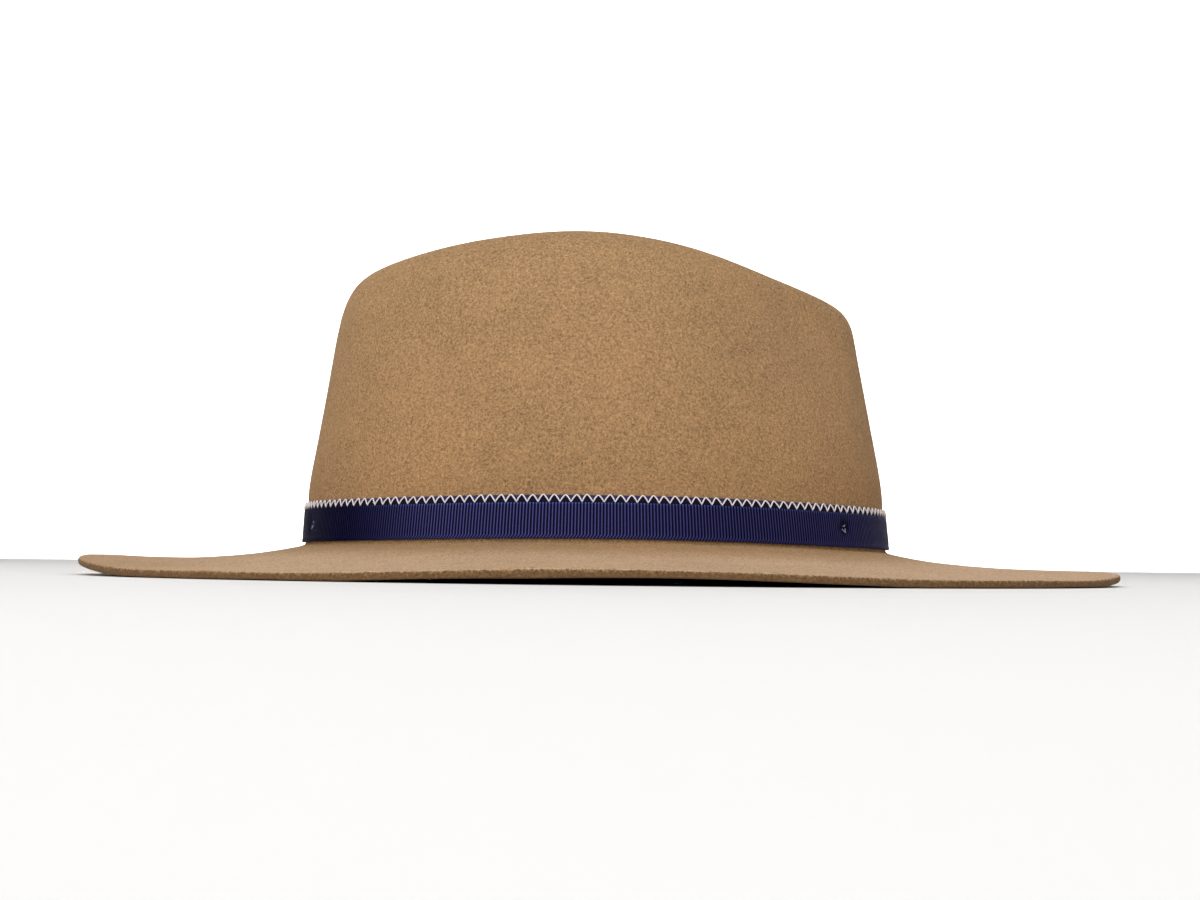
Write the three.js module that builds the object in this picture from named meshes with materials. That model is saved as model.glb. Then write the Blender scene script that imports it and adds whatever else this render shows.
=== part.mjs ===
// A felt hat with a teardrop crown and a wide brim, and two navy ribbons round the foot of its crown.
// Units are millimetres. +Z is up, +X is the front of the hat and +Y its wearer's left.
// The origin is on the surface that the hat rests on, under the middle of the brim.

import * as THREE from "three";

// Head opening and felt
const headLength = 200;
const headWidth = 166;
const feltThickness = 2.8;

// Brim
const brimLength = 363.6;
const brimWidth = 334;
// Underside of the brim at the break, where it turns up into the crown, above the surface
const brimRise = 9.3;
const breakRadius = 5.5;
// How far the cut edge bulges out between its two faces
const edgeBulge = 0.9;
// Middle of the head opening behind the middle of the brim
const openingSetBack = 1.3;

// Crown, measured on the inner face of the felt
const crownHeight = 105;
const topDentDepth = 24;

// Pinch on each side of the crown's front. Its angle is measured from the front in degrees and its row is
// counted along crownRows, and each spread runs from its middle to where the felt is undisturbed.
const pinchDepth = 7;
const pinchAngle = 38;
const pinchAngleSpread = 36;
const pinchRow = 4.2;
const pinchRowSpread = 2.3;

// Ribbons
const ribbonThickness = 1;
const ribbonGap = 0.3;
// Lower edge of the top ribbon above the upper side of the brim, measured at the break
const ribbonLift = 1.6;
const topRibbonWidth = 11.4;
// Strip of the under ribbon that shows above the top ribbon, and how far its lower edge is tucked up
const shownStrip = 2.3;
const tuckedStrip = 1.5;
const lapLength = 15;

// Steps round the hat
const columnCount = 72;

// Each row of a table has a value for five directions from the front of the hat to its back, the same on
// both sides. Between them the value follows a smooth wave.
const directions = ["front", "foreSide", "side", "rearSide", "back"];

// Underside of the brim. out is the share of the way from the break to the edge, and the directions hold
// heights above the surface as shares of brimRise. steps counts the rings up to the next row.
const brimRows = [
  { out: 1.00, steps: 1, front: 0.24, foreSide: -0.09, side: 0.22, rearSide: -0.08, back: 0.47 },
  { out: 0.85, steps: 2, front: 0.25, foreSide: -0.04, side: 0.27, rearSide: -0.03, back: 0.40 },
  { out: 0.50, steps: 2, front: 0.32, foreSide: 0.29, side: 0.51, rearSide: 0.32, back: 0.37 },
  { out: 0.15, steps: 1, front: 0.54, foreSide: 0.66, side: 0.84, rearSide: 0.68, back: 0.59 },
];

// Underside of the brim where the break begins, as shares of brimRise
const breakRow = { front: 0.785, foreSide: 0.87, side: 1.00, rearSide: 0.88, back: 0.82 };

// Top ridge of the crown, as shares of crownHeight above brimRise
const ridgeRow = { front: 0.822, foreSide: 0.909, side: 1.00, rearSide: 0.962, back: 0.915 };

// Depth of the top dent below the ridge beside it, as shares of topDentDepth
const topDentRow = { front: 0.42, foreSide: 0.68, side: 1.00, rearSide: 0.77, back: 0.60 };

// Inner face of the crown, from its foot over the ridge into the top dent. rise is a share of the ridge's
// height and sink a share of the top dent's depth. The directions hold shares of the head opening's oval.
const crownRows = [
  { rise: 0.08, sink: 0, steps: 1, front: 0.984, foreSide: 0.980, side: 0.978, rearSide: 0.987, back: 0.993 },
  { rise: 0.19, sink: 0, steps: 2, front: 0.998, foreSide: 0.990, side: 0.982, rearSide: 0.993, back: 1.003 },
  { rise: 0.40, sink: 0, steps: 1, front: 0.972, foreSide: 0.956, side: 0.938, rearSide: 0.955, back: 0.968 },
  { rise: 0.65, sink: 0, steps: 2, front: 0.930, foreSide: 0.905, side: 0.883, rearSide: 0.907, back: 0.929 },
  { rise: 0.85, sink: 0, steps: 2, front: 0.898, foreSide: 0.850, side: 0.820, rearSide: 0.858, back: 0.897 },
  { rise: 0.96, sink: 0, steps: 2, front: 0.875, foreSide: 0.790, side: 0.725, rearSide: 0.787, back: 0.850 },
  { rise: 1, sink: 0, steps: 2, front: 0.815, foreSide: 0.690, side: 0.600, rearSide: 0.690, back: 0.765 },
  { rise: 1, sink: 0.35, steps: 2, front: 0.660, foreSide: 0.505, side: 0.450, rearSide: 0.570, back: 0.640 },
  { rise: 1, sink: 0.90, steps: 2, front: 0.400, foreSide: 0.290, side: 0.230, rearSide: 0.380, back: 0.440 },
];

// Levels of a ribbon's section, as shares of its width
const ribbonLevels = [0, 0.12, 0.3, 0.6, 1];

// Value of a table's row in any direction, by the cosine wave that passes through its five values
function around(row, angle) {
  const last = directions.length - 1;
  let value = 0;
  for (let wave = 0; wave <= last; wave += 1) {
    let weight = 0;
    directions.forEach((direction, place) => {
      const share = place === 0 || place === last ? 0.5 : 1;
      weight += share * row[direction] * Math.cos(wave * place * Math.PI / last);
    });
    const share = wave === 0 || wave === last ? 1 : 2;
    value += share * weight * Math.cos(wave * angle) / last;
  }
  return value;
}

// Smooth hump, 1 in the middle and 0 from the spread outwards
function hump(distance, spread) {
  const share = Math.min(Math.abs(distance) / spread, 1);
  return 0.5 + 0.5 * Math.cos(Math.PI * share);
}

function ovalPoint(angle, centre, halfLength, halfWidth, height) {
  return new THREE.Vector3(centre + halfLength * Math.cos(angle), halfWidth * Math.sin(angle), height);
}

// Point on the underside of the brim, by its share of the way from the break to the edge
function brimPoint(row, angle) {
  const height = brimRise * around(row, angle);
  const halfLength = headLength / 2 + breakRadius;
  const halfWidth = headWidth / 2 + breakRadius;
  const inner = ovalPoint(angle, -openingSetBack, halfLength, halfWidth, height);
  const outer = ovalPoint(angle, 0, brimLength / 2 - edgeBulge, brimWidth / 2 - edgeBulge, height);
  return inner.lerp(outer, row.out);
}

// Point on the rounded break between the underside of the brim and the inside of the crown
function breakPoint(turn, angle) {
  const out = breakRadius * (1 - Math.sin(turn));
  const height = brimRise * around(breakRow, angle) + breakRadius * (1 - Math.cos(turn));
  return ovalPoint(angle, -openingSetBack, headLength / 2 + out, headWidth / 2 + out, height);
}

// Point on the inner face of the crown
function crownPoint(row, angle) {
  const reach = around(row, angle);
  const rise = crownHeight * around(ridgeRow, angle) * row.rise;
  const sink = topDentDepth * around(topDentRow, angle) * row.sink;
  const halfLength = reach * headLength / 2;
  const halfWidth = reach * headWidth / 2;
  return ovalPoint(angle, -openingSetBack, halfLength, halfWidth, brimRise + rise - sink);
}

// Inner face of the felt in one direction, from the edge of the brim to the middle of the top dent, with
// the place of each point counted along crownRows
function innerColumn(angle) {
  const keys = brimRows.map((row) => ({ point: brimPoint(row, angle), steps: row.steps }));
  [0, Math.PI / 4, Math.PI / 2].forEach((turn) => {
    keys.push({ point: breakPoint(turn, angle), steps: 2 });
  });
  const firstCrownKey = keys.length;
  crownRows.forEach((row) => keys.push({ point: crownPoint(row, angle), steps: row.steps }));
  const middle = new THREE.Vector3(-openingSetBack, 0, brimRise + crownHeight - topDentDepth);
  keys.push({ point: middle, steps: 0 });
  const beyond = crownPoint(crownRows[crownRows.length - 1], angle + Math.PI);
  const curve = new THREE.CatmullRomCurve3([...keys.map((key) => key.point), beyond], false, "centripetal");
  const column = [];
  keys.forEach((key, index) => {
    for (let step = 0; step < key.steps; step += 1) {
      const place = index + step / key.steps;
      column.push({ point: curve.getPoint(place / keys.length), crownPlace: place - firstCrownKey });
    }
  });
  column.push({ point: middle, crownPlace: crownRows.length });
  return column;
}

// The pinches push the felt of the crown's sides towards the middle
function pinch(column, angle) {
  const inwards = new THREE.Vector3(-Math.cos(angle), -Math.sin(angle), 0);
  const fromFront = THREE.MathUtils.radToDeg(Math.acos(Math.cos(angle)));
  const across = hump(fromFront - pinchAngle, pinchAngleSpread);
  column.forEach(({ point, crownPlace }) => {
    point.addScaledVector(inwards, pinchDepth * across * hump(crownPlace - pinchRow, pinchRowSpread));
  });
}

const angles = Array.from({ length: columnCount }, (_, index) => 2 * Math.PI * index / columnCount);

const innerGrid = angles.map((angle) => {
  const column = innerColumn(angle);
  pinch(column, angle);
  return column.map(({ point }) => new THREE.Vector3(point.x, point.y, Math.max(point.z, 0)));
});

// Unit vector out of the felt at a point of the inner grid
function feltNormal(grid, columnIndex, ring) {
  const lastRing = grid[0].length - 1;
  if (ring === lastRing) {
    return new THREE.Vector3(0, 0, 1);
  }
  const next = grid[(columnIndex + 1) % columnCount][ring];
  const previous = grid[(columnIndex + columnCount - 1) % columnCount][ring];
  const tangent = new THREE.Vector3().subVectors(next, previous);
  const column = grid[columnIndex];
  const along = new THREE.Vector3().subVectors(column[ring + 1], column[Math.max(ring - 1, 0)]);
  return tangent.cross(along).normalize();
}

const outerGrid = innerGrid.map((column, columnIndex) => column.map((point, ring) => (
  point.clone().addScaledVector(feltNormal(innerGrid, columnIndex, ring), feltThickness)
)));

// Rounded cut edge between the underside and the upper side of the brim
function edgeColumn(columnIndex) {
  const lower = innerGrid[columnIndex][0];
  const upper = outerGrid[columnIndex][0];
  const outwards = new THREE.Vector3().subVectors(lower, innerGrid[columnIndex][1]).normalize();
  const middle = lower.clone().lerp(upper, 0.5);
  const halfWay = new THREE.Vector3().subVectors(lower, middle);
  return [Math.PI / 4, Math.PI / 2, 3 * Math.PI / 4].map((turn) => (
    middle.clone()
      .addScaledVector(halfWay, Math.cos(turn))
      .addScaledVector(outwards, edgeBulge * Math.sin(turn))
  ));
}

// Geometry from a list of points and a list of triangles
function solidGeometry(points, triangles) {
  const geometry = new THREE.BufferGeometry();
  const positions = points.flatMap((point) => point.toArray());
  geometry.setAttribute("position", new THREE.Float32BufferAttribute(positions, 3));
  geometry.setIndex(triangles.flat());
  geometry.computeVertexNormals();
  return geometry;
}

// The felt is one skin that runs from the middle of the top dent inside the crown, down and out under the
// brim, round its edge and back up over the outside
function feltGeometry() {
  const lastRing = innerGrid[0].length - 1;
  const skin = innerGrid.map((column, columnIndex) => [
    ...column.slice(0, lastRing).reverse(),
    ...edgeColumn(columnIndex),
    ...outerGrid[columnIndex].slice(0, lastRing),
  ]);
  const rings = skin[0].length;
  const points = [...skin.flat(), innerGrid[0][lastRing], outerGrid[0][lastRing]];
  const innerMiddle = points.length - 2;
  const outerMiddle = points.length - 1;
  const triangles = [];
  skin.forEach((column, columnIndex) => {
    const here = columnIndex * rings;
    const next = ((columnIndex + 1) % columnCount) * rings;
    triangles.push([innerMiddle, next, here]);
    for (let ring = 0; ring < rings - 1; ring += 1) {
      triangles.push([here + ring, next + ring, next + ring + 1]);
      triangles.push([here + ring, next + ring + 1, here + ring + 1]);
    }
    triangles.push([here + rings - 1, next + rings - 1, outerMiddle]);
  });
  return solidGeometry(points, triangles);
}

// Point on the outside of the crown's wall at a height above the surface
function wallPoint(columnIndex, height) {
  const column = outerGrid[columnIndex % columnCount];
  const ring = column.findIndex((point, index) => point.z <= height && column[index + 1].z > height);
  const share = (height - column[ring].z) / (column[ring + 1].z - column[ring].z);
  return column[ring].clone().lerp(column[ring + 1], share);
}

// Point at a distance outside the crown's wall
function besideWall(columnIndex, height, distance) {
  const next = wallPoint(columnIndex + 1, height);
  const previous = wallPoint(columnIndex + columnCount - 1, height);
  const outwards = new THREE.Vector3(next.y - previous.y, previous.x - next.x, 0).normalize();
  return wallPoint(columnIndex, height).addScaledVector(outwards, distance);
}

// Section of a ribbon: its outer face from the lower edge up, then its inner face back down
function ribbonSection(columnIndex, lowerEdge, width, distance) {
  const brimTop = brimRise * around(breakRow, angles[columnIndex % columnCount]) + feltThickness;
  const start = brimTop + ribbonLift + lowerEdge;
  const heights = ribbonLevels.map((level) => start + level * width);
  const outer = heights.map((height) => besideWall(columnIndex, height, distance + ribbonThickness));
  const inner = heights.map((height) => besideWall(columnIndex, height, distance));
  return [...outer, ...inner.reverse()];
}

// Skin of a ribbon through its sections, as a closed loop or as a strip with two cut ends
function ribbonGeometry(sections, closed) {
  const size = sections[0].length;
  const triangles = [];
  const spans = closed ? sections.length : sections.length - 1;
  for (let span = 0; span < spans; span += 1) {
    const here = span * size;
    const next = ((span + 1) % sections.length) * size;
    for (let corner = 0; corner < size; corner += 1) {
      const following = (corner + 1) % size;
      triangles.push([here + corner, next + corner, next + following]);
      triangles.push([here + corner, next + following, here + following]);
    }
  }
  if (!closed) {
    const end = (sections.length - 1) * size;
    for (let level = 0; level < size / 2 - 1; level += 1) {
      const across = size - 1 - level;
      triangles.push([level, level + 1, across - 1]);
      triangles.push([level, across - 1, across]);
      triangles.push([end + level, end + across - 1, end + level + 1]);
      triangles.push([end + level, end + across, end + across - 1]);
    }
  }
  return solidGeometry(sections.flat(), triangles);
}

// The under ribbon is a loop against the felt
function underRibbonGeometry() {
  const width = topRibbonWidth + shownStrip - tuckedStrip;
  const sections = angles.map((_, index) => ribbonSection(index, tuckedStrip, width, ribbonGap));
  return ribbonGeometry(sections, true);
}

// The top ribbon goes once round over the under ribbon, and its end laps over its start on the left side
function topRibbonGeometry() {
  const base = ribbonGap + ribbonThickness + ribbonGap;
  const start = columnCount / 4;
  const columnWidth = Math.PI * headLength / columnCount;
  const lapColumns = Math.max(1, Math.round(lapLength / columnWidth));
  const sections = [];
  for (let index = 0; index <= columnCount + lapColumns; index += 1) {
    const lifted = THREE.MathUtils.clamp((index - columnCount + 2) / 2, 0, 1);
    const distance = base + lifted * (ribbonThickness + ribbonGap);
    sections.push(ribbonSection(start + index, 0, topRibbonWidth, distance));
  }
  return ribbonGeometry(sections, false);
}

function piece(name, geometry, material) {
  const mesh = new THREE.Mesh(geometry, new THREE.MeshStandardMaterial(material));
  mesh.name = name;
  return mesh;
}

const felt = { color: 0xa5835d, roughness: 0.95, metalness: 0 };
const underRibbonCloth = { color: 0x3c3a6e, roughness: 0.8, metalness: 0 };
const topRibbonCloth = { color: 0x24254f, roughness: 0.55, metalness: 0 };

const hat = new THREE.Group();
hat.add(piece("felt_body", feltGeometry(), felt));
hat.add(piece("under_ribbon", underRibbonGeometry(), underRibbonCloth));
hat.add(piece("top_ribbon", topRibbonGeometry(), topRibbonCloth));

export default hat;
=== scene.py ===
# A felt hat with a teardrop crown, a wide brim and a navy grosgrain ribbon trim, standing on a pale floor.
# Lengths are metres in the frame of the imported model: +Z up, +X the front of the hat, +Y its wearer's left.

import bisect
import math
import random

import bmesh
import bpy
from mathutils import Matrix, Vector, noise
from mathutils.bvhtree import BVHTree


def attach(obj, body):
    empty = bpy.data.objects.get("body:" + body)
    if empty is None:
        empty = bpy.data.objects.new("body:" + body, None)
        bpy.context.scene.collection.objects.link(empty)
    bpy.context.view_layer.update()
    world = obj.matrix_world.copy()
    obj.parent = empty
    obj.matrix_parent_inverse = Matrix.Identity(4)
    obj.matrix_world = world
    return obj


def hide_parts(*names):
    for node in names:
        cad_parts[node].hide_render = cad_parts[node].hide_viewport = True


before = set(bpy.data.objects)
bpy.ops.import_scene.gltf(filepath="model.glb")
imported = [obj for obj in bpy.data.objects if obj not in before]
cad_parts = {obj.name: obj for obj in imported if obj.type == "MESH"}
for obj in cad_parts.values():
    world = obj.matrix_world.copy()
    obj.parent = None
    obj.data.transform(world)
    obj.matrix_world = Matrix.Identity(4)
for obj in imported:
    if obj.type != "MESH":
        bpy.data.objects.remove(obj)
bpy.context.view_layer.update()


# ---- Felt ----
# Crown and brim are one hood of camel-coloured wool felt, just under 3 mm thick, steamed over a block and
# pressed flat at the brim. The teardrop dent and the pinches are pressed in by hand, and the brim's edge is
# cut raw and rubbed round. Where the edge and the underside near it face sideways or down, they are painted
# darker as shade.

def crumpled(point, size, seed):
    """Smooth noise from -1 to 1 that changes over a given size."""
    return noise.noise(point / size + Vector((seed, 2 * seed, 3 * seed)))


def felt_mesh(node, name):
    """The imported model's solid as a smooth mesh of mostly four-sided faces."""
    mesh = bmesh.new()
    mesh.from_mesh(node.data)
    bmesh.ops.remove_doubles(mesh, verts=mesh.verts, dist=1e-6)
    bmesh.ops.join_triangles(
        mesh, faces=mesh.faces,
        angle_face_threshold=math.radians(60), angle_shape_threshold=math.radians(60),
    )
    for face in mesh.faces:
        face.smooth = True
    data = bpy.data.meshes.new(name)
    mesh.to_mesh(data)
    mesh.free()
    data.materials.clear()
    return data


def smoothed(piece, levels):
    """Subdivides a piece and keeps the result as its mesh."""
    modifier = piece.modifiers.new("smooth", "SUBSURF")
    modifier.levels = levels
    modifier.render_levels = levels
    shown = piece.evaluated_get(bpy.context.evaluated_depsgraph_get())
    data = bpy.data.meshes.new_from_object(shown)
    piece.modifiers.clear()
    piece.data = data


felt = bpy.data.objects.new("felt", felt_mesh(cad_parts["felt_body"], "felt"))
bpy.context.scene.collection.objects.link(felt)
smoothed(felt, 2)

# Slow unevenness from steaming by hand, and the small lumps of the pressed wool
wave_height, wave_size = 0.00028, 0.038
lump_height, lump_size = 0.00005, 0.0045
uneven = []
for vertex in felt.data.vertices:
    rise = (
        wave_height * crumpled(vertex.co, wave_size, 5)
        + lump_height * crumpled(vertex.co, lump_size, 11)
    )
    moved = vertex.co + vertex.normal * rise
    uneven.extend((moved.x, moved.y, max(moved.z, 0)))
felt.data.vertices.foreach_set("co", uneven)
felt.data.update()


class Shade:
    """A socket of a material's nodes, with Python's operators for the maths on its values."""

    def __init__(self, tree, socket=None):
        self.tree = tree
        self.socket = socket

    def node(self, kind, settings=None, values=None, output=0):
        """A new node with its settings, then the values or links of its sockets."""
        node = self.tree.nodes.new(kind)
        for name, value in (settings or {}).items():
            setattr(node, name, value)
        for key, value in (values or {}).items():
            if isinstance(value, Shade):
                self.tree.links.new(value.socket, node.inputs[key])
            else:
                node.inputs[key].default_value = value
        return Shade(self.tree, node.outputs[output])

    def maths(self, operation, *terms):
        """The result of a Math node on values or other sockets."""
        return self.node("ShaderNodeMath", {"operation": operation}, dict(enumerate(terms)))

    def __add__(self, other):
        return self.maths("ADD", self, other)

    def __radd__(self, other):
        return self.maths("ADD", other, self)

    def __sub__(self, other):
        return self.maths("SUBTRACT", self, other)

    def __rsub__(self, other):
        return self.maths("SUBTRACT", other, self)

    def __mul__(self, other):
        return self.maths("MULTIPLY", self, other)

    def __rmul__(self, other):
        return self.maths("MULTIPLY", other, self)

    def __truediv__(self, other):
        return self.maths("DIVIDE", self, other)

    def __pow__(self, other):
        return self.maths("POWER", self, other)

    def between(self, low, high):
        """0 below low, 1 above high, and smooth in between."""
        return self.node(
            "ShaderNodeMapRange", {"interpolation_type": "SMOOTHSTEP"},
            {"Value": self, "From Min": low, "From Max": high},
        )

    def grain(self, size, detail, roughness=0.5):
        """Noise about 0.5 over a place in metres, with features of a given size."""
        return self.node(
            "ShaderNodeTexNoise", {"noise_dimensions": "3D"},
            {"Vector": self, "Scale": 1 / size, "Detail": detail, "Roughness": roughness},
        )

    def tint(self, low, high):
        """A colour from low at 0 to high at 1."""
        return self.node(
            "ShaderNodeMix", {"data_type": "RGBA"},
            {0: self, 6: low if isinstance(low, Shade) else (*low, 1),
             7: high if isinstance(high, Shade) else (*high, 1)},
            output=2,
        )

    def shaded(self, amount):
        """A colour times a value that changes over the surface."""
        grey = self.node("ShaderNodeCombineColor", values={0: amount, 1: amount, 2: amount})
        return self.node(
            "ShaderNodeMix", {"data_type": "RGBA", "blend_type": "MULTIPLY"},
            {0: 1.0, 6: self, 7: grey}, output=2,
        )

    def bump(self, strength, distance):
        """A normal for a relief with a given strength and depth."""
        return self.node(
            "ShaderNodeBump", values={"Height": self, "Strength": strength, "Distance": distance},
        )


def finish(piece, name, constants):
    """Gives a piece a new material, and returns its shader's inputs and a Shade to start its nodes from."""
    material = bpy.data.materials.new(name)
    material.use_nodes = True
    shader = material.node_tree.nodes["Principled BSDF"]
    for socket, value in constants.items():
        shader.inputs[socket].default_value = value
    piece.data.materials.clear()
    piece.data.materials.append(material)
    return shader.inputs, Shade(material.node_tree)


def feed(inputs, varying):
    """Links what changes over a surface to the shader."""
    for socket, shade in varying.items():
        shade.tree.links.new(shade.socket, inputs[socket])


shader, start = finish(felt, "camel_felt", {
    "Roughness": 0.95, "Specular IOR Level": 0.12,
    "Sheen Weight": 0.05, "Sheen Roughness": 0.5, "Sheen Tint": (1.0, 0.88, 0.74, 1),
})
place = start.node("ShaderNodeTexCoord", output="Object")
facing = start.node("ShaderNodeNewGeometry", output="Normal")
across = start.node("ShaderNodeSeparateXYZ", values={0: place}, output="X")
along = start.node("ShaderNodeSeparateXYZ", values={0: place}, output="Y")
upwards = start.node("ShaderNodeSeparateXYZ", values={0: facing}, output="Z")

# Share of the way out to the brim's edge, on an oval
brim_half_length, brim_half_width = 0.1818, 0.1671
outwards = ((across / brim_half_length) ** 2 + (along / brim_half_width) ** 2) ** 0.5

# Painted light: the upper side of the brim, where it faces up, is painted paler than the crown, least of all
# at the back
brim_light_off_back = 0.3 + 0.7 * across.between(-0.17, -0.08)
painted_brim_light = outwards.between(0.56, 0.78) * upwards.between(0.55, 0.97) * brim_light_off_back

blotches = place.grain(0.045, 2)
patches = place.grain(0.009, 3)
mottling = place.grain(0.00085, 2, 0.6)
fibres = place.grain(0.00038, 1, 0.5)

# Painted shade: near the brim's edge, surfaces that face sideways or down are painted dark, and this ends
# raggedly at the edge's upper corner
shaded_cut_edge = outwards.between(0.960, 0.985) * (1 - (upwards + 1.5 * (mottling - 0.5)).between(0.15, 1.0))
value = (
    1 + 0.20 * (blotches - 0.5) + 0.22 * (patches - 0.5)
    + 1.55 * (mottling - 0.5) + 1.30 * (fibres - 0.5)
)
wool = blotches.tint((0.385, 0.238, 0.122), (0.415, 0.246, 0.114))
# Painted light on the upper side of the brim
wool = painted_brim_light.tint(wool, (0.550, 0.370, 0.230))
# Painted shade on the cut edge and the underside next to it
wool = shaded_cut_edge.tint(wool, (0.175, 0.098, 0.044))
relief = 0.55 * mottling + 0.30 * fibres + 0.15 * patches
feed(shader, {
    "Base Color": wool.shaded(value),
    "Normal": relief.bump(0.5, 0.0006),
})

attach(felt, "root")
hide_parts("felt_body")


# ---- Under ribbon ----
# A violet-blue woven ribbon against the foot of the crown, butted at the wearer's left. The wider part of it
# lies under the top ribbon, and the strip of 2.3 mm above that carries the zigzag seam.

crown_half_length, crown_half_width, crown_set_back = 0.100, 0.083, 0.0013
felt_surface = BVHTree.FromPolygons(
    [vertex.co for vertex in felt.data.vertices],
    [polygon.vertices for polygon in felt.data.polygons],
)


def outward(turn):
    """Level direction straight out of the crown's wall. A turn is an angle round the hat's oval."""
    direction = Vector((math.cos(turn) / crown_half_length, math.sin(turn) / crown_half_width, 0))
    return direction.normalized()


def beside(turn, level, reach):
    """Point at a height above the floor, and at a distance outside the head opening's oval."""
    oval = Vector((
        crown_half_length * math.cos(turn) - crown_set_back, crown_half_width * math.sin(turn), level,
    ))
    return oval + reach * outward(turn)


probe_reach, probe_depth = 0.05, 0.12


def wall_reach(turn, level):
    """How far outside that oval the crown's wall stands."""
    hit = felt_surface.ray_cast(beside(turn, level, probe_reach), -outward(turn), probe_depth)
    return probe_reach - hit[3]


def wall(turn, level):
    """Point on the outside of the crown at a height above the floor."""
    return beside(turn, level, wall_reach(turn, level))


def edge_heights(node, pick):
    """Heights of a ribbon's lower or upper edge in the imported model, in equal steps of turn."""
    steps = 72
    found = [[] for _ in range(steps)]
    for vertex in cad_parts[node].data.vertices:
        turn = math.atan2(
            vertex.co.y / crown_half_width, (vertex.co.x + crown_set_back) / crown_half_length,
        )
        found[round(turn / math.tau * steps) % steps].append(vertex.co.z)
    return [pick(heights) for heights in found]


def at_turn(heights, turn):
    """Value of a list round the hat at any turn."""
    place_in_list = (turn / math.tau) % 1 * len(heights)
    low = int(place_in_list)
    share = place_in_list - low
    return heights[low % len(heights)] * (1 - share) + heights[(low + 1) % len(heights)] * share


ribbon_foot = edge_heights("top_ribbon", min)
strip_top = edge_heights("under_ribbon", max)
top_ribbon_width = 0.0114

# Length round the wall at the middle of the ribbon, to set out pieces along it in true lengths
survey_steps = 1440
lap_turn = math.pi / 2
survey = [0.0]
previous = wall(lap_turn, at_turn(ribbon_foot, lap_turn) + top_ribbon_width / 2)
for index in range(1, survey_steps + 1):
    turn = lap_turn + math.tau * index / survey_steps
    here = wall(turn, at_turn(ribbon_foot, turn) + top_ribbon_width / 2)
    survey.append(survey[-1] + (here - previous).length)
    previous = here
round_length = survey[-1]


def turn_at(length):
    """Turn that lies a given length of ribbon on from the lap."""
    whole, rest = divmod(length, round_length)
    index = min(bisect.bisect_right(survey, rest), survey_steps) - 1
    share = (rest - survey[index]) / (survey[index + 1] - survey[index])
    return lap_turn + math.tau * (whole + (index + share) / survey_steps)


def strip_mesh(name, columns, marks):
    """A strip with two faces from columns of points, which go up the outer face and down the inner one.
    The marks are lists of one value per point, kept by name for the material."""
    size = len(columns[0])
    points = [point for column in columns for point in column]
    faces = []
    for span in range(len(columns) - 1):
        for row in range(size):
            beyond = (row + 1) % size
            here, there = span * size, (span + 1) * size
            faces.append((here + row, there + row, there + beyond, here + beyond))
    faces.append(tuple(range(size)))
    last = (len(columns) - 1) * size
    faces.append(tuple(last + row for row in reversed(range(size))))
    data = bpy.data.meshes.new(name)
    data.from_pydata(points, [], faces)
    data.shade_smooth()
    for mark, mark_values in marks.items():
        layer = data.attributes.new(mark, "FLOAT", "POINT")
        layer.data.foreach_set("value", mark_values)
    piece = bpy.data.objects.new(name, data)
    bpy.context.scene.collection.objects.link(piece)
    return piece


zigzag_pitch = 0.00345
zigzag_count = round(round_length / zigzag_pitch)
zigzag_step = round_length / zigzag_count
arch_fullness = 1.5


def arch(share):
    """Height of the seam's thread over the strip, as a share, at a share of one zigzag."""
    return 1 - abs(2 * share - 1) ** arch_fullness


strip_bulge = 0.00050


def bulge(share):
    """How far the strip stands out over the straight line between its two edges."""
    return strip_bulge * math.cos(1.2 * share)


# The under ribbon starts this far above the top ribbon's lower edge, and is cut this wide
under_tuck, under_cut = 0.0015, 0.0122
under_gap, under_thickness = 0.00012, 0.00045
upper_rounding = 0.00010

# Under the seam's arches the cloth is pressed in, down to a narrow margin below the thread
pressed_in, pressed_from, pressed_margin = 0.00016, 0.1, 0.05

# Heights over the strip, as shares of it; those under 0 lie behind the top ribbon
strip_shares = (-3.5, -1.5, -0.3, 0.05, 0.25, 0.5, 0.75, 0.92, 1.0)
steps_per_zigzag = 8
under_columns, under_lengths, under_shares = [], [], []
for index in range(zigzag_count * steps_per_zigzag + 1):
    length = round_length * index / (zigzag_count * steps_per_zigzag)
    turn = turn_at(min(length, round_length - 1e-6))
    foot = at_turn(ribbon_foot, turn) + under_tuck
    edge = at_turn(ribbon_foot, turn) + top_ribbon_width
    top = at_turn(strip_top, turn)
    foot_reach, edge_reach, top_reach = (wall_reach(turn, level) for level in (foot, edge, top))
    covered = arch(index / steps_per_zigzag % 1)
    column = []
    for share in strip_shares:
        level = max(foot, edge + share * (top - edge))
        if share < 0:
            climb = (level - foot) / (edge - foot)
            reach = foot_reach * (1 - climb) + edge_reach * climb
        else:
            reach = edge_reach * (1 - share) + top_reach * share + bulge(share)
            reach -= pressed_in if pressed_from < share < covered - pressed_margin else 0
        rounding = upper_rounding if share == strip_shares[-1] else 0
        column.append(beside(turn, level, reach + under_gap + under_thickness - rounding))
        under_shares.append(share)
    column.append(beside(turn, top, top_reach + under_gap))
    column.append(beside(turn, edge, edge_reach + under_gap))
    column.append(beside(turn, foot, foot_reach + under_gap))
    under_shares.extend((strip_shares[-1], 0.0, strip_shares[0]))
    under_columns.append(column)
    under_lengths.extend([length] * len(column))
under_ribbon = strip_mesh("under_ribbon_cloth", under_columns, {
    "length": under_lengths, "share": under_shares,
})

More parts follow.
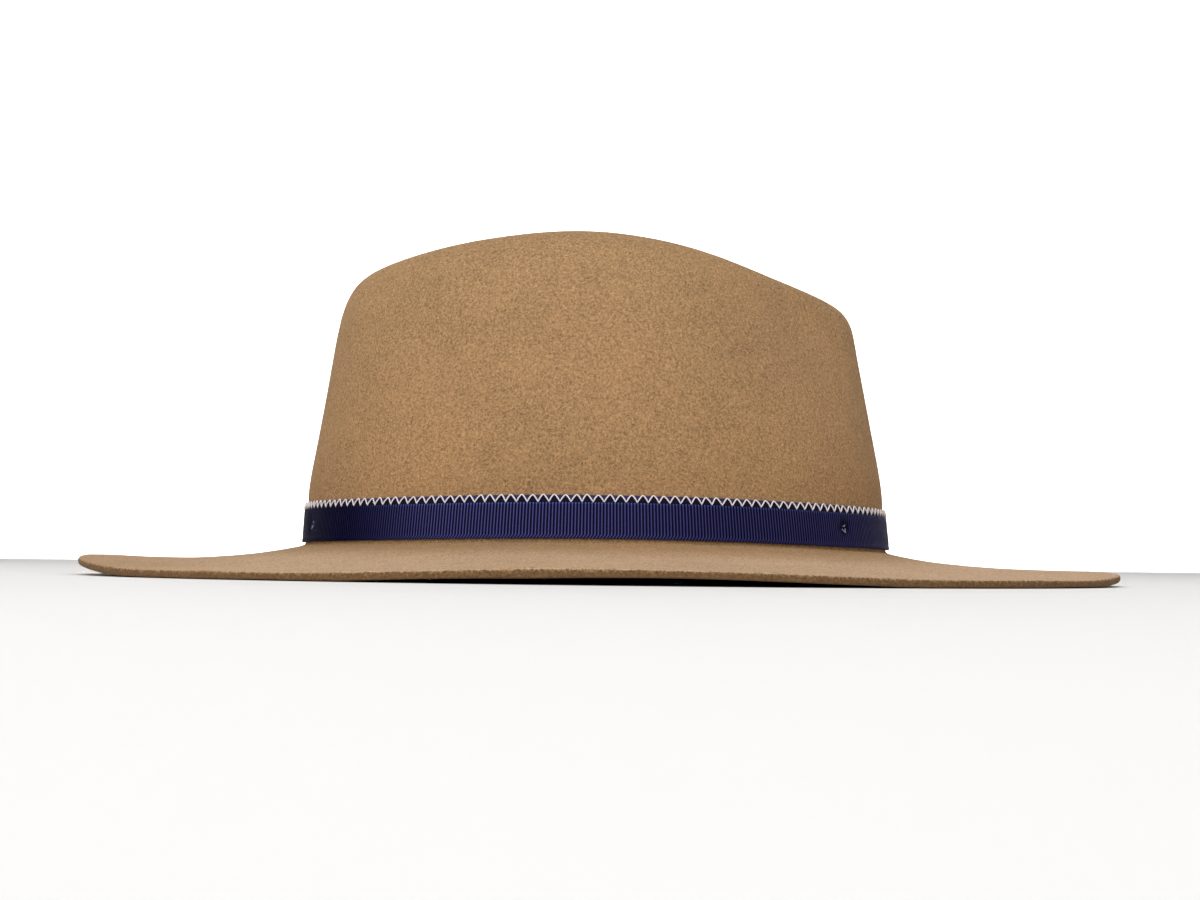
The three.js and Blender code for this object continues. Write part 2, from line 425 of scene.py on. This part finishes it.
shader, start = finish(under_ribbon, "violet_ribbon", {
    "Roughness": 0.70, "IOR": 1.35, "Specular Tint": (0.4, 0.4, 1.0, 1),
    "Sheen Weight": 0.05, "Sheen Roughness": 0.4, "Sheen Tint": (0.5, 0.5, 1.0, 1),
})
place = start.node("ShaderNodeTexCoord", output="Object")
height = start.node("ShaderNodeSeparateXYZ", values={0: place}, output="Z")
length = start.node("ShaderNodeAttribute", {"attribute_name": "length"}, output="Fac")
warp_pitch, weft_pitch = 0.0005, 0.0006
warp = 0.5 + 0.5 * start.maths("SINE", length * (math.tau / warp_pitch))
weft = 0.5 + 0.5 * start.maths("SINE", height * (math.tau / weft_pitch))
weave = warp * weft
mottle = place.grain(0.0011, 2)
cloth = weave.tint((0.020, 0.018, 0.085), (0.075, 0.070, 0.225))

# The cloth under each arch of the seam is pressed in, and is painted nearly black there as shade under the
# thread
over_strip = start.node("ShaderNodeAttribute", {"attribute_name": "share"}, output="Fac")
along_zigzag = start.maths("FRACT", length / zigzag_step)
thread_height = 1 - start.maths("ABSOLUTE", 2 * along_zigzag - 1) ** arch_fullness
shade_under_arch = (thread_height - over_strip).between(0.0, 0.16)
cloth = shade_under_arch.tint(cloth, (0.006, 0.004, 0.014))
feed(shader, {
    "Base Color": cloth.shaded(0.55 + 0.9 * mottle),
    "Normal": weave.bump(0.5, 0.0002),
})

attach(under_ribbon, "root")
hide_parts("under_ribbon")


# ---- Top ribbon ----
# Navy grosgrain, 11.4 mm wide, pulled round over the under ribbon, with its end lapped over its start at the
# wearer's left. Its ribs stand 1 mm apart, and its woven edges are a band of small slanted loops.

rib_pitch = 0.00102
rib_height = 0.00020
rib_profile = (0.0, 0.72, 0.97, 1.0, 0.97, 0.72)
top_gap, top_thickness = 0.00072, 0.00050
slack_height, slack_size, slack_seed = 0.00012, 0.02, 7.3

# Before the ribbon's end laps over its start, it climbs on to it over a short ramp
lap_length = 0.015
lap_climb, ramp_start, ramp_length = 0.00075, 0.008, 0.007

# Bands of slanted loops along both edges, which stand a little higher than the ribs between them
selvedge, upper_selvedge = 0.0012, 0.0006
selvedge_slant = 0.9
loop_height = 1.15 * rib_height

# Heights of the mesh's rows above the lower edge in mm, and what is done at some of them
rises = (0.0, 0.10, 0.28, 0.55, 0.85, 1.10, 1.25, 2.6, 4.4, 6.2, 8.0, 9.8, 10.65, 10.85, 11.10, 11.32, 11.4)
groove_rises, groove_share = (1.25, 10.85), 0.55
edge_roundings = {0.0: 0.00022, 0.10: 0.00008, 11.32: 0.00008, 11.4: 0.00022}
inner_rises = (11.4, 5.7, 0.0)

# The tack stitches pull the ribbon in: their turns, and their heights above the ribbon's lower edge
tacks = (
    {"turn": math.radians(-36.9), "height": 0.0066, "depth": 0.00070},
    {"turn": math.radians(-159.4), "height": 0.0062, "depth": 0.00060},
)
dimple_half_length, dimple_half_height, deepest = 0.0030, 0.0024, 0.0006
creases_per_tack, crease_share = 5, 0.35


def ribbon_face(turn, rise, stand):
    """Point over the straight run of the top ribbon, from its lower edge up to its upper one."""
    foot, climb = at_turn(ribbon_foot, turn), rise / top_ribbon_width
    reach = wall_reach(turn, foot) * (1 - climb) + wall_reach(turn, foot + top_ribbon_width) * climb
    return beside(turn, foot + rise, reach + stand)


def pulled_in(length, rise):
    """How far the tack stitches pull the ribbon towards the felt, with creases that run out from them."""
    depth = 0
    for tack in tacks:
        along_ribbon = (length - tack["length"]) / dimple_half_length
        up_ribbon = (rise - tack["height"]) / dimple_half_height
        reach = along_ribbon ** 2 + up_ribbon ** 2
        if reach < 9:
            around = math.atan2(up_ribbon, along_ribbon)
            creases = 1 + crease_share * math.cos(creases_per_tack * around)
            depth += tack["depth"] * math.exp(-reach * creases)
    return depth


for tack in tacks:
    turns_on = (tack["turn"] - lap_turn) % math.tau
    step = turns_on / math.tau * survey_steps
    tack["length"] = survey[int(step)] + (step % 1) * (survey[int(step) + 1] - survey[int(step)])

ribs = int((round_length + lap_length) / rib_pitch)
top_columns, rib_marks, rise_marks, dimple_shade_marks = [], [], [], []
steps_per_rib = len(rib_profile)
for index in range(ribs * steps_per_rib + 1):
    length = index / steps_per_rib * rib_pitch
    turn = turn_at(length)
    foot = at_turn(ribbon_foot, turn)
    lapped = min(max((length - round_length + ramp_start) / ramp_length, 0), 1)
    base = top_gap + lap_climb * (3 * lapped ** 2 - 2 * lapped ** 3)
    slack = slack_height * noise.noise(Vector((length / slack_size, slack_seed, 0)))
    foot_reach, top_reach = wall_reach(turn, foot), wall_reach(turn, foot + top_ribbon_width)
    column = []
    for rise_mm in rises:
        rise = rise_mm / 1000
        shift = max(selvedge - rise, 0) / selvedge * selvedge_slant
        phase = (index / steps_per_rib + shift) % 1
        low = int(phase * steps_per_rib)
        share = phase * steps_per_rib - low
        profile = rib_profile[low] * (1 - share) + rib_profile[(low + 1) % steps_per_rib] * share
        in_loops = rise < selvedge + 1e-5 or rise > top_ribbon_width - upper_selvedge
        strength = loop_height if in_loops else rib_height
        strength *= groove_share if rise_mm in groove_rises else 1
        stand = base + top_thickness + slack + strength * profile
        stand -= edge_roundings.get(rise_mm, 0) + pulled_in(length, rise)
        climb = rise / top_ribbon_width
        column.append(beside(turn, foot + rise, foot_reach * (1 - climb) + top_reach * climb + stand))
        rib_marks.append(index / steps_per_rib + shift)
        rise_marks.append(rise_mm)
        dimple_shade_marks.append(pulled_in(length, rise) / deepest)
    for rise_mm in inner_rises:
        rise = rise_mm / 1000
        climb = rise / top_ribbon_width
        reach = foot_reach * (1 - climb) + top_reach * climb
        column.append(beside(turn, foot + rise, reach + base + slack - 0.6 * pulled_in(length, rise)))
        rib_marks.append(index / steps_per_rib)
        rise_marks.append(rise_mm)
        dimple_shade_marks.append(0.0)
    top_columns.append(column)
top_ribbon = strip_mesh("top_ribbon_cloth", top_columns, {
    "ribs": rib_marks, "rise": rise_marks, "dimple_shade": dimple_shade_marks,
})

shader, start = finish(top_ribbon, "navy_grosgrain", {
    "IOR": 1.38, "Specular IOR Level": 0.18, "Specular Tint": (0.35, 0.36, 1.0, 1),
})
place = start.node("ShaderNodeTexCoord", output="Object")
rib = start.node("ShaderNodeAttribute", {"attribute_name": "ribs"}, output="Fac")
rise = start.node("ShaderNodeAttribute", {"attribute_name": "rise"}, output="Fac")
# Painted light and shade: the tops of the ribs are painted light, as lit, and the grooves between them nearly
# black, as shade, on the cloth and on both edgings
rib_light_share = 0.5 - 0.5 * start.maths("COSINE", rib * math.tau)
dimple_shade = start.node("ShaderNodeAttribute", {"attribute_name": "dimple_shade"}, output="Fac")
lower_loops = 1 - rise.between(1.15, 1.25)
upper_loops = rise.between(10.8, 10.9)
thread_pitch_mm = 0.33
threads = 0.5 + 0.5 * start.maths("SINE", rise * (math.tau / thread_pitch_mm))
speck = place.grain(0.0007, 2)
cloth = (rib_light_share ** 3).tint((0.0005, 0.0005, 0.0090), (0.085, 0.085, 0.290))
lower_edging = (rib_light_share ** 2).tint((0.0008, 0.0010, 0.012), (0.075, 0.080, 0.290))
upper_edging = (rib_light_share ** 2).tint((0.0025, 0.0050, 0.035), (0.090, 0.140, 0.420))
cloth = lower_loops.tint(cloth, lower_edging)
cloth = upper_loops.tint(cloth, upper_edging)
# Painted shade: where the tack stitches pull the ribbon in, it is painted nearly black
cloth = dimple_shade.between(0.1, 0.9).tint(cloth, (0.0008, 0.0009, 0.006))

# Painted light and shade: the navy is painted darkest round the back of the hat, as shade, and lighter along
# its sides, as lit, a little less so towards the front
across = start.node("ShaderNodeSeparateXYZ", values={0: place}, output="X")
lit_side_share = across.between(-0.088, -0.050) * (1 - 0.40 * across.between(-0.015, 0.055))
shaded_back_cloth = (rib_light_share ** 2).tint((0.0004, 0.0003, 0.012), (0.0016, 0.0012, 0.030))
cloth = lit_side_share.tint(shaded_back_cloth, cloth)
feed(shader, {
    "Base Color": cloth.shaded(0.60 + 0.5 * speck + 0.3 * threads),
    "Roughness": 0.40 + 0.14 * speck,
    "Normal": (0.6 * threads + 0.4 * speck).bump(0.35, 0.00012),
})

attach(top_ribbon, "root")
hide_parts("top_ribbon")


# ---- Zigzag seam ----
# White twisted thread, about 0.5 mm thick, sewn by machine in a zigzag that fills the violet strip above
# the top ribbon. Its points are rounded at the strip's upper edge and sharp where they go down behind it.

seam_random = random.Random(41)
thread_radius = 0.00024
samples, sides = 12, 7
peak_slide, peak_unevenness, seam_clearance = 0.07, 0.00012, 0.00010


def tube_mesh(name, path, radius, tube_sides):
    """A round thread along a path of points, closed at both ends, marked with the length along it."""
    points, faces, lengths = [], [], []
    run = 0.0
    last_point = path[0]
    for index, point in enumerate(path):
        ahead = path[min(index + 1, len(path) - 1)]
        behind = path[max(index - 1, 0)]
        tangent = (ahead - behind).normalized()
        side = tangent.cross(Vector((0, 0, 1)))
        side = side.normalized() if side.length > 1e-4 else Vector((1, 0, 0))
        over = side.cross(tangent)
        run += (point - last_point).length
        last_point = point
        for corner in range(tube_sides):
            angle = math.tau * corner / tube_sides
            points.append(point + radius * (math.cos(angle) * side + math.sin(angle) * over))
            lengths.append(run)
    for ring in range(len(path) - 1):
        for corner in range(tube_sides):
            beyond = (corner + 1) % tube_sides
            here, there = ring * tube_sides, (ring + 1) * tube_sides
            faces.append((here + corner, here + beyond, there + beyond, there + corner))
    faces.append(tuple(reversed(range(tube_sides))))
    faces.append(tuple((len(path) - 1) * tube_sides + corner for corner in range(tube_sides)))
    data = bpy.data.meshes.new(name)
    data.from_pydata(points, [], faces)
    data.shade_smooth()
    data.attributes.new("length", "FLOAT", "POINT").data.foreach_set("value", lengths)
    piece = bpy.data.objects.new(name, data)
    bpy.context.scene.collection.objects.link(piece)
    return piece


seam_path = []
for index in range(zigzag_count):
    peak_shift = seam_random.uniform(-peak_slide, peak_slide)
    peak_lift = seam_random.uniform(-peak_unevenness, peak_unevenness)
    for sample in range(samples):
        share = sample / samples
        up = arch(share)
        slide = peak_shift * math.sin(math.pi * share)
        length = (index + share + slide) * zigzag_step
        turn = turn_at(min(max(length, 0), round_length - 1e-6))
        low = at_turn(ribbon_foot, turn) + top_ribbon_width
        high = at_turn(strip_top, turn)
        reach = wall_reach(turn, low) * (1 - up) + wall_reach(turn, high) * up + bulge(up)
        lift = 0.30 + 0.80 * math.sin(math.pi * min(up + 0.15, 1))
        stand = under_gap + under_thickness + thread_radius * lift
        level = low + up * (high - low + peak_lift) + seam_clearance
        seam_path.append(beside(turn, level, reach + stand))
zigzag = tube_mesh("zigzag_thread", seam_path, thread_radius, sides)

shader, start = finish(zigzag, "white_thread", {
    "Roughness": 0.7, "Specular IOR Level": 0.35, "Sheen Weight": 0.15,
})
place = start.node("ShaderNodeTexCoord", output="Object")
length = start.node("ShaderNodeAttribute", {"attribute_name": "length"}, output="Fac")
twist_pitch = 0.0006
twist = 0.5 + 0.5 * start.maths("SINE", length * (math.tau / twist_pitch))
fuzz = place.grain(0.0005, 2)
thread = twist.tint((0.86, 0.80, 0.83), (1.0, 0.97, 0.98))
feed(shader, {
    "Base Color": thread.shaded(0.85 + 0.3 * fuzz),
    "Normal": (0.6 * twist + 0.4 * fuzz).bump(0.5, 0.0002),
})

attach(zigzag, "root")


# ---- Tack stitches ----
# Two small V-shaped stitches in light blue thread, sewn by hand through both ribbons and the felt. They
# hold the trim in place, one near the front of the crown and one near its back.

tack_radius, tack_steps = 0.00015, 4

# Points of the two stitches as pairs: along the ribbon, and up from the place of the tack
tack_shapes = (
    ((-0.0009, -0.0006), (-0.0004, -0.0012), (0.0001, -0.0018), (0.0004, -0.0012), (0.0009, -0.0004)),
    ((-0.0003, 0.0005), (0.0001, 0.0002), (0.0005, 0.0004), (0.0008, 0.0009)),
)
tack_pieces = []
for tack_index, tack in enumerate(tacks):
    for shape_index, shape in enumerate(tack_shapes):
        path = []
        last_step = tack_steps * (len(shape) - 1)
        for step in range(last_step + 1):
            span = min(step // tack_steps, len(shape) - 2)
            share = (step - tack_steps * span) / tack_steps
            first, second = shape[span], shape[span + 1]
            length = tack["length"] + first[0] * (1 - share) + second[0] * share
            rise = tack["height"] + first[1] * (1 - share) + second[1] * share
            turn = turn_at(length)
            height_over_ends = math.sin(math.pi * step / last_step)
            stand = (
                top_gap + top_thickness + rib_height * 0.9 - pulled_in(length, rise)
                + tack_radius * (1.6 * height_over_ends - 0.2)
            )
            path.append(ribbon_face(turn, rise, stand))
        piece = tube_mesh(f"tack_stitch_{tack_index + 1}_{shape_index + 1}", path, tack_radius, sides)
        tack_pieces.append(piece)

for piece in tack_pieces:
    shader, start = finish(piece, "light_blue_thread", {"Roughness": 0.6, "Sheen Weight": 0.2})
    place = start.node("ShaderNodeTexCoord", output="Object")
    fuzz = place.grain(0.0004, 2)
    feed(shader, {
        "Base Color": fuzz.tint((0.16, 0.20, 0.38), (0.38, 0.45, 0.68)),
        "Normal": fuzz.bump(0.4, 0.0001),
    })
    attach(piece, "root")


# ---- Floor, light and camera ----
# The hat stands on a plain pale floor that curves up into a backdrop, in the soft light of four round studio
# lamps, with a fifth on the backdrop. The camera is close to the floor, at the wearer's right, and looks a
# little upwards.

floor_half, curve_radius, backdrop_height, curve_steps = 6.0, 2.0, 5.0, 12
profile = [(-floor_half, 0.0)]
for index in range(curve_steps + 1):
    angle = math.pi / 2 * index / curve_steps
    profile.append((
        floor_half - curve_radius + curve_radius * math.sin(angle), curve_radius * (1 - math.cos(angle)),
    ))
profile.append((floor_half, backdrop_height))
floor_points = [(side * floor_half, y, z) for side in (-1, 1) for y, z in profile]
floor_faces = [
    (index, index + len(profile), index + len(profile) + 1, index + 1) for index in range(len(profile) - 1)
]
floor_mesh = bpy.data.meshes.new("floor")
floor_mesh.from_pydata(floor_points, [], floor_faces)
floor_mesh.shade_smooth()
floor = bpy.data.objects.new("floor", floor_mesh)
bpy.context.scene.collection.objects.link(floor)
shader, start = finish(floor, "pale_floor", {
    "Base Color": (0.93, 0.93, 0.93, 1), "Roughness": 0.9, "Specular IOR Level": 0.1,
})


def lamp(name, location, target, size, power):
    """A round lamp that faces its target."""
    light = bpy.data.lights.new(name, "AREA")
    light.shape = "DISK"
    light.size = size
    light.energy = power
    light.color = (1.0, 0.985, 0.965)
    lamp_object = bpy.data.objects.new(name, light)
    lamp_object.location = location
    direction = Vector(target) - Vector(location)
    lamp_object.rotation_euler = direction.to_track_quat("-Z", "Y").to_euler()
    bpy.context.scene.collection.objects.link(lamp_object)


middle_of_hat = (0, 0, 0.05)
lamp("key_lamp", (-0.50, -1.32, 1.15), middle_of_hat, 0.8, 9)
lamp("low_lamp", (-0.70, -1.40, 0.36), middle_of_hat, 0.36, 5.0)
lamp("top_lamp", (0.0, 0.0, 1.6), middle_of_hat, 1.2, 8.5)
lamp("fill_lamp", (1.2, -0.9, 0.6), middle_of_hat, 1.0, 2.8)
lamp("backdrop_lamp", (0, 2.6, 2.6), (0, 6, 1.0), 4.0, 320)

world = bpy.data.worlds.new("studio")
world.use_nodes = True
world.node_tree.nodes["Background"].inputs["Color"].default_value = (1, 1, 1, 1)
world.node_tree.nodes["Background"].inputs["Strength"].default_value = 0.24
bpy.context.scene.world = world
bpy.context.scene.view_settings.view_transform = "Standard"

focal_pixels, image_width, sensor = 1894, 1200, 36
# Pixels of the photograph between its middle and the horizon, by tilting the camera and by shifting its lens
tilt_pixels, shift_pixels = 55, 55
pitch_up, roll = math.atan(tilt_pixels / focal_pixels), 0.012
camera_data = bpy.data.cameras.new("camera")
camera_data.sensor_width = sensor
camera_data.lens = focal_pixels / image_width * sensor
camera_data.shift_y = shift_pixels / image_width
camera_data.clip_start = 0.01
camera_data.clip_end = 50
camera = bpy.data.objects.new("camera", camera_data)
camera.matrix_world = (
    Matrix.Translation((0, -0.680, 0.007))
    @ Matrix.Rotation(math.pi / 2 + pitch_up, 4, "X")
    @ Matrix.Rotation(roll, 4, "Z")
)
bpy.context.scene.collection.objects.link(camera)
bpy.context.scene.camera = camera
